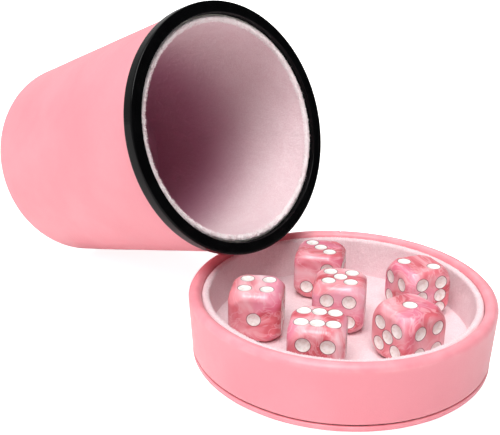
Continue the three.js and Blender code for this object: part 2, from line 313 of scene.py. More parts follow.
def lathe(name, outline, angles, relief):
    """Turns an outline round +Z. relief(spots) is each point's push along its normal."""
    profile = outline.array()
    closed = profile[0, 0] > SAME_POINT
    turns = len(angles)
    angle = np.repeat(angles, len(profile))
    radius, height = np.tile(profile, (turns, 1)).T
    push = relief(Spots(round_axis(radius, height, angle), angle, radius, height))
    normal = np.tile(outline_normals(profile, closed), (turns, 1))
    radius = radius + normal[:, 0] * push
    height = height + normal[:, 1] * push
    if not closed:
        radius[np.tile(profile[:, 0] < SAME_POINT, turns)] = 0
    faces, used = turned_faces(len(profile), turns, closed)
    lookup = np.zeros(len(angle), int)
    lookup[used] = np.arange(len(used))
    points = round_axis(radius, height, angle)[used]
    piece = make_object(name, points, [lookup[face].tolist() for face in faces])
    # how tight each edge is: the leather is painted paler there, as wear and as a highlight
    add_attribute(piece, "wear_and_highlight", np.tile(edge_wear_and_highlight(profile, closed), turns)[used])
    return piece


# A seam along a wall: a groove, with the lapped leather's lip beside it.
SEAM_WIDTH = 0.22
SEAM_DEPTH = 0.22
LIP_WIDTH = 0.55
LIP_HEIGHT = 0.09


def near_seam(angle, radius, seam, width):
    """1 on a seam line along the wall, fading to 0 over a width in millimetres."""
    away = (angle - math.radians(seam) + math.pi) % (2 * math.pi) - math.pi
    return np.exp(-(away * radius / width) ** 2)


def seam_relief(angle, radius, seam, lip_turn):
    """The relief of a seam, with its lip turned so many degrees on from its groove."""
    lip = near_seam(angle, radius, seam + lip_turn, LIP_WIDTH)
    return LIP_HEIGHT * lip - SEAM_DEPTH * near_seam(angle, radius, seam, SEAM_WIDTH)


# ---- The lid's pieces ----

LID_SEAM = 128.0  # degrees round the lid, behind it
CUP_SEAM = 118.0  # degrees round the cup, on its far side
LID_LIP_TURN = 0.9
CUP_LIP_TURN = 1.1

# Steps round the turned pieces.
FINE_STEPS = 288
PAD_STEPS = 360
LID_LINING_STEPS = 560
CUP_LINING_STEPS = 960

# Where the felt differs from the CAD's.
LINING_DROP = 0.25  # the linings reach down to the felt on the floors
PAD_RISE = 0.1  # the discs of felt are thicker
FOLD_PROUD = 0.12  # the fold over the lid's card strip reaches out past it

# Seeded relief, in layers of (height, wavelength, seed).
LID_SLACK = ((0.05, 17, 11), (0.018, 4.5, 12))
LID_BASE_UNDER = ((0.03, 12, 21),)
LID_BASE_SIDE = ((0.02, 6, 22),)
LID_LINING_SOFT = ((0.10, 9, 31), (0.05, 2.2, 32))
LID_FOLD_SOFT = ((0.05, 1.4, 33), (0.03, 3, 34))
LID_PAD_SOFT = ((0.06, 14, 41), (0.04, 2.6, 42))
CUP_SLACK = ((0.06, 26, 51), (0.02, 7, 52))
CUP_PLEAT_WANDER = ((1.2, 9, 53),)
CUP_BASE_SOFT = ((0.02, 8, 61),)
CUP_LINING_SOFT = ((0.14, 16, 71), (0.06, 4, 72))
CUP_EDGE_FRAY = ((0.18, 0.75, 73), (0.12, 1.8, 74))
CUP_PAD_SOFT = ((0.1, 15, 81), (0.05, 3, 82))
RING_WAVER = ((0.012, 22, 91),)


def lid_leather():
    """The leather over the lid's wall: turned under, up the wall, over the rim and down inside."""
    edge = 1.0
    hem_end = LID_HEIGHT - LID_HEM_DEPTH
    rim = lid_wall(LID_RIM_ROLL, LID_ROLL_HEIGHT)
    inner_bottom = LID_HEM_BOTTOM + LID_LEATHER
    outline = Outline(LID_HEM_RADIUS, LID_HEM_BOTTOM, 0.7)
    outline.arc(lid_wall(edge, LID_HEM_BOTTOM), LID_HEM_BOTTOM + edge, edge, -90, 0, 8)
    outline.arc(rim, LID_ROLL_HEIGHT, LID_RIM_ROLL, 0, 180, 28)
    outline.line(lid_wall(LID_HEM_IN, hem_end), hem_end)
    outline.line(lid_wall(LID_HEM_OUT, hem_end), hem_end)
    outline.arc(rim, LID_ROLL_HEIGHT, LID_RIM_ROLL - LID_LEATHER, 180, 0, 12)
    outline.line(lid_wall(LID_LEATHER, inner_bottom), inner_bottom, 2.0)
    outline.line(LID_HEM_RADIUS, inner_bottom)
    outline.line(LID_HEM_RADIUS, LID_HEM_BOTTOM)

    def relief(at):
        seam = seam_relief(at.angle, LID_RADIUS, LID_SEAM, LID_LIP_TURN)
        return ripples(at.points, LID_SLACK) + (at.radius > rim - 1.0) * seam

    return lathe("lid_leather_skin", outline, turn_angles(FINE_STEPS, LID_SEAM, LID_RADIUS), relief)


def lid_base_cover():
    """The leather over the disc under the lid: a shallow dish, its middle clear of the table."""
    edge, lip, sunk = 0.75, 0.3, 0.04
    middle_rise, outer_rise = 0.12, 0.05
    inside = LID_FOOT_RADIUS - LID_BASE_LEATHER
    upper = LID_BASE_LEATHER + 0.15
    outline = Outline(0, middle_rise, 2.2)
    outline.line(LID_FOOT_RADIUS - 6, outer_rise)
    outline.line(LID_FOOT_RADIUS - edge - 0.6, 0)
    outline.arc(LID_FOOT_RADIUS - edge, edge, edge, -90, 0, 8)
    outline.arc(LID_FOOT_RADIUS - lip, LID_BASE_HEIGHT - lip, lip, 0, 90, 4)
    outline.line(inside, LID_BASE_HEIGHT)
    outline.line(inside, upper)
    outline.line(0, upper, 6)

    def relief(at):
        under = ripples(at.points, LID_BASE_UNDER) - sunk
        return np.where(at.height < 0.5, under, ripples(at.points, LID_BASE_SIDE))

    return lathe("lid_base_skin", outline, turn_angles(FINE_STEPS), relief)


def lid_felt_fold():
    """The half width, radius and height of the round fold along the top of the lid's felt."""
    half = (LID_FELT_IN - LID_STRIP_OUT + FOLD_PROUD) / 2
    centre = lid_wall(LID_STRIP_OUT - FOLD_PROUD + half, LID_FELT_TOP)
    return half, centre, LID_FELT_TOP - half


def lid_felt_lining():
    """The felt round the inside of the lid's wall, folded softly over its card strip."""
    bottom = TRAY_FLOOR + GAP - LINING_DROP
    fold = LID_FELT_TOP - 1.0
    under = fold - 0.05
    fade = 1.5
    half, centre, height = lid_felt_fold()
    outline = Outline(lid_wall(LID_FELT_IN, bottom), bottom, 0.6)
    outline.line(lid_wall(LID_FELT_OUT, bottom), bottom)
    outline.line(lid_wall(LID_FELT_OUT, under), under)
    outline.line(lid_wall(LID_STRIP_OUT - FOLD_PROUD, under), under)
    outline.arc(centre, height, half, 0, 180, 20)
    outline.line(lid_wall(LID_FELT_IN, bottom), bottom)

    def relief(at):
        top = np.clip((at.height - fold + fade) / fade, 0, 1)
        inside = at.radius < lid_wall(LID_FELT_OUT, at.height)
        return ripples(at.points, LID_LINING_SOFT) * inside + top * ripples(at.points, LID_FOLD_SOFT)

    return lathe("lid_felt_lining", outline, turn_angles(LID_LINING_STEPS), relief)


def felt_pad(name, radius, bottom, top, spacing, steps, soft):
    """A felt disc on a floor, soft on its upper side."""
    outline = Outline(0, bottom, 3.0)
    outline.line(radius, bottom)
    outline.line(radius, top + PAD_RISE)
    outline.line(0, top + PAD_RISE, spacing)
    return lathe(name, outline, turn_angles(steps),
                 lambda at: (at.height > top) * ripples(at.points, soft))


def lid_felt_pad():
    """The felt disc on the tray's floor."""
    radius = lid_wall(LID_SHELL_IN + GAP, TRAY_FLOOR_BOTTOM)
    return felt_pad("lid_felt_pad", radius, TRAY_FLOOR_BOTTOM, TRAY_FLOOR, 0.55, PAD_STEPS,
                    LID_PAD_SOFT)


# ---- The cup's pieces ----

PLEAT_TURNS = 34  # half the number of pleats
PLEAT_DEPTH = 0.32


def pleats(at, heel):
    """The depth of the pleats in the leather turned under the cup, fading out at the heel."""
    under = (at.height < 0.3) * np.clip((heel - at.radius) / (heel - CUP_HEM_RADIUS), 0, 1)
    wave = np.sin(PLEAT_TURNS * at.angle + ripples(at.points, CUP_PLEAT_WANDER))
    return under * PLEAT_DEPTH * np.abs(wave) ** 3


def cup_leather():
    """The leather round the cup: pleated under the base, round the heel and up to the ring."""
    heel = cup_wall(CUP_HEEL, CUP_HEEL)
    edge = 0.25
    outline = Outline(CUP_HEM_RADIUS, edge, 0.4)
    outline.arc(CUP_HEM_RADIUS + edge, edge, edge, 180, 270, 4)
    outline.arc(heel, CUP_HEEL, CUP_HEEL, -90, 0, 16)
    outline.line(cup_wall(0, CUP_WALL_TOP), CUP_WALL_TOP, 1.0)
    outline.line(cup_wall(CUP_LEATHER, CUP_WALL_TOP), CUP_WALL_TOP)
    outline.line(cup_wall(CUP_LEATHER, CUP_HEEL), CUP_HEEL, 3.0)
    outline.arc(heel, CUP_HEEL, CUP_HEEL - CUP_LEATHER, 0, -90, 8)
    outline.line(CUP_HEM_RADIUS, CUP_LEATHER)
    outline.line(CUP_HEM_RADIUS, edge)

    def relief(at):
        slack = np.clip(at.height / 6, 0, 1) * ripples(at.points, CUP_SLACK)
        seam = seam_relief(at.angle, at.radius, CUP_SEAM, CUP_LIP_TURN)
        return slack + (at.height > 0.5) * seam - pleats(at, heel)

    return lathe("cup_leather_skin", outline, turn_angles(FINE_STEPS * 2, CUP_SEAM), relief)


def cup_base_cover():
    """The leather disc in the middle of the cup's underside, a little pillowed."""
    radius = CUP_HEM_RADIUS - GAP / 2
    edge, pillow, sunk = 0.35, 0.12, 0.14
    outline = Outline(0, 0.0, 1.6)
    outline.arc(radius - edge, edge, edge, -90, 0, 6)
    outline.line(radius, CUP_LEATHER)
    outline.line(0, CUP_LEATHER, 5)

    def relief(at):
        rise = pillow * np.clip(1 - at.radius / radius, 0, 1) ** 0.5 - sunk
        return (at.height < 0.3) * (rise + ripples(at.points, CUP_BASE_SOFT))

    return lathe("cup_base_skin", outline, turn_angles(FINE_STEPS), relief)


def cup_felt_edge():
    """The half width, radius and height of the round soft edge of the cup's felt."""
    half, lean = 0.85, 0.1
    height = CUP_FELT_TOP - half
    return half, cup_wall(CUP_FELT_IN - half - lean, height), height


def cup_felt_lining():
    """The felt round the inside of the cup, with its soft edge up inside the ring's bore."""
    bottom = CUP_FLOOR + GAP - LINING_DROP
    half, centre, height = cup_felt_edge()
    below, fade = height - 4, 0.8
    outline = Outline(cup_wall(CUP_FELT_IN, bottom), bottom, 1.0)
    outline.line(cup_wall(CUP_FELT_OUT - 0.1, bottom), bottom)
    outline.line(centre + half, height, 4.0)
    outline.arc(centre, height, half, 0, 180, 26)
    outline.line(cup_wall(CUP_FELT_IN, below), below, 0.4)
    outline.line(cup_wall(CUP_FELT_IN, bottom), bottom, 1.5)

    def relief(at):
        top = np.clip((at.height - height + fade) / fade, 0, 1)
        soft = (at.radius < centre - 0.5) * ripples(at.points, CUP_LINING_SOFT)
        return soft + top * ripples(at.points, CUP_EDGE_FRAY)

    return lathe("cup_felt_lining", outline, turn_angles(CUP_LINING_STEPS), relief)


def cup_felt_pad():
    """The felt disc in the bottom of the cup."""
    radius = cup_wall(CUP_FELT_OUT, CUP_FELT_BOTTOM)
    return felt_pad("cup_felt_pad", radius, CUP_FELT_BOTTOM, CUP_FLOOR, 0.8, FINE_STEPS,
                    CUP_PAD_SOFT)


def cup_ring():
    """The black ring: a skirt, a rounded outer edge, a flat face and a steep bevel into the bore."""
    top = CUP_LENGTH
    skirt = top - RING_SKIRT
    under = top - RING_FLANGE
    inside = RING_SKIRT_IN - 0.2  # closer round the leather than in the CAD
    edge, rounding = 0.25, 0.55
    face_radius, bevel_depth = 37.0, 1.35
    outline = Outline(RING_BORE, under, 0.8)
    outline.line(inside, under)
    outline.line(inside, skirt + edge)
    outline.arc(inside + edge, skirt + edge, edge, 180, 270, 4)
    outline.arc(RING_RADIUS - edge, skirt + edge, edge, -90, 0, 5)
    outline.arc(RING_RADIUS - rounding, top - rounding, rounding, 0, 90, 10)
    outline.arc(face_radius, top - edge, edge, 90, 170, 6)
    outline.line(RING_BORE + 0.03, top - bevel_depth)
    outline.line(RING_BORE, under)
    return lathe("cup_black_ring", outline, turn_angles(FINE_STEPS),
                 lambda at: ripples(at.points, RING_WAVER))


# ---- Felt fibres ----

FIBRE_SECTIONS = ((-0.2, 1.0), (0.5, 0.75))  # share of the length, share of the width
FIBRE_BEND = 0.35
FIBRE_POINTS = 7  # two sections of three and a tip
FIBRE_FACES = [[2, 1, 0], [3, 4, 6], [4, 5, 6], [5, 3, 6], [0, 1, 4, 3], [1, 2, 5, 4], [2, 0, 3, 5]]
NAP_SPREAD = (60, 200)  # degrees round an edge's section: 90 is up, 180 is into the cup or the tray
NAP_STRAY = 0.45


def fibres(name, roots, ways, lengths, width, seed):
    """Tapered, slightly bent fibres, each a closed spike with a triangular section."""
    rng = np.random.default_rng(seed)
    count = len(roots)
    ways = ways / np.linalg.norm(ways, axis=1)[:, None]
    side = np.cross(ways, rng.normal(size=(count, 3)))
    side /= np.linalg.norm(side, axis=1)[:, None]
    other = np.cross(ways, side)
    bend = side * (lengths * rng.uniform(-FIBRE_BEND, FIBRE_BEND, count))[:, None]
    rings = []
    for share, size in FIBRE_SECTIONS:
        centre = roots + ways * (lengths * share)[:, None] + bend * max(share, 0) ** 2
        for turn in (0, 2 * math.pi / 3, 4 * math.pi / 3):
            rings.append(centre + (side * math.cos(turn) + other * math.sin(turn)) * width * size)
    tip = roots + ways * lengths[:, None] + bend
    points = np.stack([*rings, tip], 1).reshape(-1, 3)
    base = np.arange(count)[:, None] * FIBRE_POINTS
    faces = []
    for face in FIBRE_FACES:
        faces += (base + np.array(face)[None, :]).tolist()
    return make_object(name, points, faces, 80)


def edge_fibres(name, count, edge, lengths, width, seed):
    """Fibres that stand out of a felt edge turned round +Z, from its half width, radius and height."""
    half, centre, height = edge
    rng = np.random.default_rng(seed)
    angle = rng.uniform(0, 2 * math.pi, count)
    lean = np.radians(rng.uniform(*NAP_SPREAD, count))
    out = round_axis(np.cos(lean), np.sin(lean), angle)
    ring = round_axis(centre, np.full(count, height), angle)
    ways = out + rng.normal(size=(count, 3)) * NAP_STRAY
    return fibres(name, ring + out * half, ways, rng.uniform(*lengths, count), width, seed + 1)


def lid_fringe():
    """The nap that shows along the fold of the lid's felt."""
    return edge_fibres("lid_felt_fringe", 2600, lid_felt_fold(), (0.15, 0.42), 0.045, seed=101)


def cup_fringe():
    """The nap that shows along the edge of the cup's felt, inside the ring."""
    return edge_fibres("cup_felt_fringe", 7200, cup_felt_edge(), (0.2, 0.75), 0.07, seed=111)


# ---- The dice ----

def pip_centres(number):
    """The pips' centres on one face, in steps along the two axes that lie in it, in X, Y, Z order."""
    first_step = SIX_SPACING if number == 6 else PIP_SPACING
    return [(a * first_step, b * PIP_SPACING) for a, b in PIP_PLACES[number]]


def rounded_face(u, v):
    """Points over one face of the die, on its flat middle and its rounded borders, facing +Z."""
    flat = DIE_HALF - DIE_ROUNDING
    mid_u, mid_v = np.clip(u, -flat, flat), np.clip(v, -flat, flat)
    quarter = math.pi / 4 / DIE_ROUNDING
    lean_u, lean_v = np.tan((u - mid_u) * quarter), np.tan((v - mid_v) * quarter)
    normal = np.stack([lean_u, lean_v, np.ones_like(u)], -1)
    normal /= np.linalg.norm(normal, axis=-1)[..., None]
    points = np.stack([mid_u, mid_v, np.full_like(u, flat)], -1) + normal * DIE_ROUNDING
    reach = np.linalg.norm(points, axis=-1)
    soft = 0.35
    share = np.clip(0.5 + 0.5 * (DIE_CORNER_BALL - reach) / soft, 0, 1)
    tumbled = DIE_CORNER_BALL * (1 - share) + reach * share - soft * share * (1 - share)
    return points * (tumbled / reach)[..., None]


def pip_distance(points, centres):
    """The signed distance to the nearest pip's rim, and the vector out of that pip's centre."""
    away = points[..., None, :2] - np.array(centres)
    reach = np.linalg.norm(away, axis=-1)
    nearest = reach.argmin(-1)[..., None]
    distance = np.take_along_axis(reach, nearest, -1)[..., 0] - PIP_RADIUS
    return distance, np.take_along_axis(away, nearest[..., None], -2)[..., 0, :]


SNAP_BORDER = 0.4  # grid points this close to a face's border stay put
SNAP_REACH = 0.52  # share of a grid cell within which a point moves onto a pip's rim
SNAP_ROUNDS = 4


def die_face(number):
    """One face's points and signed pip distances. Grid points close to a rim are moved onto it."""
    line = np.linspace(-DIE_HALF, DIE_HALF, DIE_CELLS + 1)
    u, v = np.meshgrid(line, line, indexing="ij")
    reach = DIE_HALF - SNAP_BORDER
    inside = (np.abs(u) < reach) & (np.abs(v) < reach)
    cell = line[1] - line[0]
    centres = pip_centres(number)
    first, _ = pip_distance(rounded_face(u, v), centres)
    snap = inside & (np.abs(first) < cell * SNAP_REACH)
    for _ in range(SNAP_ROUNDS):
        distance, out = pip_distance(rounded_face(u, v), centres)
        step = distance[..., None] * out / (np.linalg.norm(out, axis=-1)[..., None] + TINY)
        u = np.where(snap, u - step[..., 0], u)
        v = np.where(snap, v - step[..., 1], v)
    points = rounded_face(u, v)
    distance, _ = pip_distance(points, centres)
    share = np.clip(1 + distance / PIP_RADIUS, 0, 1)
    points[..., 2] -= np.where(distance < 0, PIP_DEPTH * (1 - share ** 2), 0)
    return points, distance


def face_axes(number):
    """The two axes in a face, in X, Y, Z order, and its normal."""
    normal = np.array(FACE_NORMAL[number], float)
    first, second = (np.eye(3)[k] for k in range(3) if normal[k] == 0)
    return first, second, normal


def die_mesh_parts():
    """A die's points, faces and pip distances, with 1 on top and 5 on the right, its edges welded."""
    all_points, all_pips, all_faces = [], [], []
    side = DIE_CELLS + 1
    grid = np.arange(side * side).reshape(side, side)
    quads = np.stack([grid[:-1, :-1], grid[1:, :-1], grid[1:, 1:], grid[:-1, 1:]], -1).reshape(-1, 4)
    for step, number in enumerate(FACE_NORMAL):
        first, second, normal = face_axes(number)
        points, pips = die_face(number)
        turned = points.reshape(-1, 3) @ np.stack([first, second, normal])
        outward = np.dot(np.cross(first, second), normal) > 0
        all_faces.append((quads if outward else quads[:, ::-1]) + step * side * side)
        all_points.append(turned)
        all_pips.append(pips.ravel())
    points, pips, faces = np.vstack(all_points), np.concatenate(all_pips), np.vstack(all_faces)
    _, keep, where = np.unique(np.round(points, 4), axis=0, return_index=True, return_inverse=True)
    return points[keep], where.ravel()[faces].tolist(), pips[keep]


def face_turn(top, right):
    """The turn that brings one number to the top and another to the right."""
    up, across = Vector(FACE_NORMAL[top]), Vector(FACE_NORMAL[right])
    return Matrix((across, up.cross(across), up)).to_4x4()


MARBLE_SHIFT = (31.0, -17.0, 23.0)  # from one die's marbling to the next's


# ---- Materials ----

def srgb(red, green, blue):
    """A colour written as 0 to 255 on a screen, as the linear colour that shaders take."""
    parts = [c / 255 for c in (red, green, blue)]
    return tuple(c / 12.92 if c <= 0.04045 else ((c + 0.055) / 1.055) ** 2.4 for c in parts) + (1.0,)


class Graph:
    """A material's node tree, with one short call for each kind of node."""

    def __init__(self, name):
        """Starts with a shader, its output and the coordinates of the piece itself."""
        self.material = bpy.data.materials.new(name)
        self.material.use_nodes = True
        self.tree = self.material.node_tree
        self.tree.nodes.clear()
        self.shader = self.tree.nodes.new("ShaderNodeBsdfPrincipled")
        output = self.tree.nodes.new("ShaderNodeOutputMaterial")
        self.tree.links.new(self.shader.outputs["BSDF"], output.inputs["Surface"])
        self.place = self.node("ShaderNodeTexCoord").outputs["Object"]

    def node(self, kind, **settings):
        """A new node with its settings."""
        node = self.tree.nodes.new(kind)
        for name, value in settings.items():
            setattr(node, name, value)
        return node

    def feed(self, socket, value):
        """Links a socket to another, or sets its number or colour."""
        if isinstance(value, bpy.types.NodeSocket):
            self.tree.links.new(value, socket)
        else:
            socket.default_value = value

    def set(self, **inputs):
        """Sets or links the shader's own sockets, written with _ for a space."""
        for name, value in inputs.items():
            self.feed(self.shader.inputs[name.replace("_", " ")], value)

    def noise(self, size, detail=3.0, rough=0.5, warp=0.0, place=None):
        """Noise with features about size millimetres wide."""
        node = self.node("ShaderNodeTexNoise")
        self.feed(node.inputs["Vector"], place or self.place)
        for name, value in (("Scale", 1 / (size * MM)), ("Detail", detail),
                            ("Roughness", rough), ("Distortion", warp)):
            node.inputs[name].default_value = value
        return node.outputs["Fac"]

    def cells(self, size, feature="DISTANCE_TO_EDGE"):
        """Distances in a pattern of cells about size millimetres wide."""
        node = self.node("ShaderNodeTexVoronoi", feature=feature)
        self.feed(node.inputs["Vector"], self.place)
        node.inputs["Scale"].default_value = 1 / (size * MM)
        return node.outputs["Distance"]

    def math(self, operation, one, two=0.0, three=0.0):
        """A sum, a product or another plain operation."""
        node = self.node("ShaderNodeMath", operation=operation)
        for socket, value in zip(node.inputs, (one, two, three)):
            self.feed(socket, value)
        return node.outputs[0]

    def vector(self, operation, *parts):
        """An operation on vectors."""
        node = self.node("ShaderNodeVectorMath", operation=operation)
        for socket, value in zip(node.inputs, parts):
            self.feed(socket, value)
        return node.outputs[0]

    def span(self, value, low, high, to_low=0.0, to_high=1.0):
        """A value from one range carried smoothly to another."""
        node = self.node("ShaderNodeMapRange", interpolation_type="SMOOTHSTEP")
        for socket, number in zip(node.inputs, (value, low, high, to_low, to_high)):
            self.feed(socket, number)
        return node.outputs["Result"]

    def mix(self, share, one, two):
        """One colour carried towards another by a share."""
        node = self.node("ShaderNodeMix", data_type="RGBA")
        self.feed(node.inputs["Factor"], share)
        self.feed(node.inputs["A"], one)
        self.feed(node.inputs["B"], two)
        return node.outputs["Result"]

    def tint(self, colour, over, mask, share):
        """A colour with another laid over it, where a mask says and up to a share."""
        return self.mix(self.math("MULTIPLY", mask, share), colour, over)

    def ramp(self, value, stops):
        """A colour by value, from (position, colour) stops."""
        node = self.node("ShaderNodeValToRGB")
        self.feed(node.inputs["Fac"], value)
        marks = node.color_ramp.elements
        while len(marks) < len(stops):
            marks.new(0.5)
        for mark, (position, colour) in zip(marks, stops):
            mark.position = position
            mark.color = colour
        return node.outputs["Color"]

    def attribute(self, name):
        """A node that reads an attribute of the piece's points."""
        return self.node("ShaderNodeAttribute", attribute_name=name)

    def bump(self, height, depth, under=None):
        """A normal from a height of 0 to 1 that stands for a depth in millimetres."""
        node = self.node("ShaderNodeBump")
        self.feed(node.inputs["Height"], height)
        node.inputs["Distance"].default_value = depth * MM
        if under is not None:
            self.feed(node.inputs["Normal"], under)
        return node.outputs["Normal"]


WHITE = srgb(255, 255, 255)
LEATHER_PINK = srgb(244, 155, 166)
LEATHER_DEEP = srgb(234, 138, 150)
LEATHER_WORN_AND_LIT = srgb(253, 180, 189)
FELT_PINK = srgb(246, 226, 229)
FELT_SHADE = srgb(232, 202, 208)
FELT_TIPS = srgb(254, 240, 242)
# a darker, fuller pink painted deep in the cup's felt as shade
FELT_PAINTED_SHADE = srgb(208, 140, 170)
FELT_SHEEN = srgb(255, 226, 232)
NAP_WHITE = srgb(255, 249, 249)
RING_BLACK = srgb(5, 5, 6)
RING_GREY = srgb(16, 17, 18)
PEARL_DEEP = srgb(204, 78, 90)
PEARL_ROSE = srgb(228, 116, 128)
PEARL_PINK = srgb(244, 164, 174)
PEARL_LIGHT = srgb(255, 216, 222)
PEARL_MAUVE = srgb(236, 134, 172)
PEARL_STOPS = ((0.32, PEARL_DEEP), (0.45, PEARL_ROSE), (0.58, PEARL_PINK), (0.75, PEARL_LIGHT))
PIP_WHITE = srgb(253, 250, 247)
PIP_SHADE = srgb(232, 222, 214)
# painted shade along the rim of each pip's bowl
PIP_RIM_PAINTED_SHADE = srgb(120, 58, 66)
CORE_PALE = srgb(234, 228, 220)
CORE_DULL = srgb(214, 206, 197)
BOARD_DARK = srgb(150, 142, 130)
BOARD_PALE = srgb(184, 176, 163)
BOARD_SPECK = srgb(110, 100, 90)
FLOOR_WARM = srgb(246, 245, 244)
FLOOR_COOL = srgb(243, 242, 242)


def leather_material():
    """Satin-smooth pink leather with a fine grain, drifting in tone and paler on its tight edges,
    partly rubbed wear and partly a painted highlight.
    """
    g = Graph("pink_leather")
    drift = g.span(g.noise(28, detail=2), 0.35, 0.65)
    mottle = g.span(g.noise(1.6, detail=4, rough=0.6), 0.3, 0.7)
    grain = g.span(g.cells(0.62), 0.0, 0.28)
    # the tight edges are painted paler: partly rubbed wear, partly a painted highlight
    worn_lit_edges = g.math("MULTIPLY", g.attribute("wear_and_highlight").outputs["Fac"], g.span(g.noise(5, 4), 0.3, 0.8))
    colour = g.tint(LEATHER_PINK, LEATHER_DEEP, drift, 0.45)
    colour = g.tint(colour, LEATHER_DEEP, mottle, 0.10)
    colour = g.tint(colour, LEATHER_DEEP, g.math("SUBTRACT", 1.0, grain), 0.10)
    colour = g.tint(colour, LEATHER_WORN_AND_LIT, worn_lit_edges, 0.55)
    gloss = g.span(g.noise(9, detail=5, rough=0.6), 0.25, 0.75, 0.36, 0.47)
    gloss = g.math("ADD", gloss, g.math("MULTIPLY", grain, -0.04))
    pores = g.bump(g.noise(0.2, detail=3, rough=0.6), 0.006)
    normal = g.bump(grain, 0.014, pores)
    normal = g.bump(g.noise(3.2, detail=2), 0.03, normal)
    g.set(Base_Color=colour, Roughness=gloss, Normal=normal, Specular_IOR_Level=0.45,
          Sheen_Weight=0.06, Sheen_Roughness=0.4, Coat_Weight=0.12, Coat_Roughness=0.3)
    return g.material


def felt_depths(g, colour, shade_heights, frayed):
    """The cup's felt by height in millimetres: painted shade, a darker and fuller pink deep in the cup,
    and nearly white at its edge.

    The painted shade is full below the first of the shade heights and fades out by the second. The edge
    turns white between the two heights of frayed.
    """
    place = g.node("ShaderNodeSeparateXYZ")
    g.feed(place.inputs[0], g.place)
    height = place.outputs["Z"]
    # painted shade: deep in the cup the felt is carried towards a darker, fuller pink
    full = g.span(height, shade_heights[0] * MM, shade_heights[1] * MM, 0.85, 0.0)
    white = g.span(height, frayed[0] * MM, frayed[1] * MM, 0.0, 0.8)
    return g.mix(white, g.mix(full, colour, FELT_PAINTED_SHADE), NAP_WHITE)


def felt_material(name, shade_heights=None, frayed=None):
    """Pale pink felt: a short nap with lighter tips, brushed patches and a soft sheen; the cup's felt
    also gets painted shade deep inside and a white edge.
    """
    g = Graph(name)
    nap = g.noise(0.42, detail=6, rough=0.72, warp=0.6)
    tufts = g.noise(1.5, detail=4, rough=0.6)
    brushed = g.span(g.noise(11, detail=3, rough=0.55, warp=1.2), 0.35, 0.68)
    colour = g.mix(g.span(nap, 0.32, 0.7), FELT_SHADE, FELT_PINK)
    colour = g.tint(colour, FELT_TIPS, g.span(nap, 0.56, 0.78), 0.7)
    colour = g.tint(colour, FELT_SHADE, g.span(tufts, 0.35, 0.7), 0.22)
    colour = g.tint(colour, FELT_TIPS, brushed, 0.18)
    # the cup's felt also gets painted shade deep inside
    if shade_heights is not None:
        colour = felt_depths(g, colour, shade_heights, frayed)
    normal = g.bump(nap, 0.16, g.bump(tufts, 0.25))
    g.set(Base_Color=colour, Roughness=g.span(nap, 0.3, 0.7, 0.86, 0.98), Normal=normal,
          Sheen_Weight=0.35, Sheen_Roughness=0.45, Sheen_Tint=FELT_SHEEN, Specular_IOR_Level=0.15)
    return g.material


def nap_material():
    """The loose fibres on the felt's edges, nearly white, with pinker patches."""
    g = Graph("felt_nap")
    colour = g.mix(g.span(g.noise(2.2, detail=3), 0.35, 0.7), NAP_WHITE, FELT_PINK)
    g.set(Base_Color=colour, Roughness=g.span(g.noise(1.0, detail=2), 0.3, 0.7, 0.85, 0.95),
          Sheen_Weight=0.4, Sheen_Roughness=0.4, Specular_IOR_Level=0.2)
    return g.material


def ring_material():
    """Glossy black plastic with faint haze, dust and hair scratches."""
    g = Graph("gloss_black")
    haze = g.span(g.noise(7, detail=4, rough=0.6), 0.35, 0.75)
    scratch = g.span(g.noise(0.5, detail=2, rough=0.5, warp=4.0), 0.62, 0.7)
    colour = g.tint(RING_BLACK, RING_GREY, haze, 0.35)
    colour = g.tint(colour, RING_GREY, scratch, 0.12)
    gloss = g.math("ADD", g.span(haze, 0, 1, 0.08, 0.14), g.math("MULTIPLY", scratch, 0.08))
    normal = g.bump(g.noise(1.1, detail=3), 0.004, g.bump(scratch, 0.003))
    g.set(Base_Color=colour, Roughness=gloss, Normal=normal, Specular_IOR_Level=0.12)
    return g.material


def marbled_colour(g):
    """Swirls of pearl in four pinks, with mauve patches, pale streaks and small flakes."""
    stretch = (MM, 0.9 * MM, 0.4 * MM)
    swirl_push = (16 * MM, 16 * MM, 16 * MM)
    marble = g.vector("MULTIPLY", g.attribute("marble").outputs["Vector"], stretch)
    warp = g.noise(11, detail=1, place=marble).node.outputs["Color"]
    pushed = g.vector("MULTIPLY_ADD", warp, swirl_push, marble)
    swirl = g.noise(8.5, detail=1.8, rough=0.45, warp=0.5, place=pushed)
    veins = g.noise(4.2, detail=2, rough=0.5, warp=1.0, place=pushed)
    mauve = g.span(g.noise(13, detail=1, place=pushed), 0.48, 0.66)
    streak = g.span(g.math("ABSOLUTE", g.math("SUBTRACT", veins, 0.5)), 0.0, 0.06, 1.0, 0.0)
    flakes = g.span(g.noise(0.35, detail=2), 0.6, 0.75)
    colour = g.tint(g.ramp(swirl, PEARL_STOPS), PEARL_MAUVE, mauve, 0.5)
    colour = g.tint(colour, PEARL_LIGHT, streak, 0.35)
    return g.tint(colour, PEARL_LIGHT, flakes, 0.12)


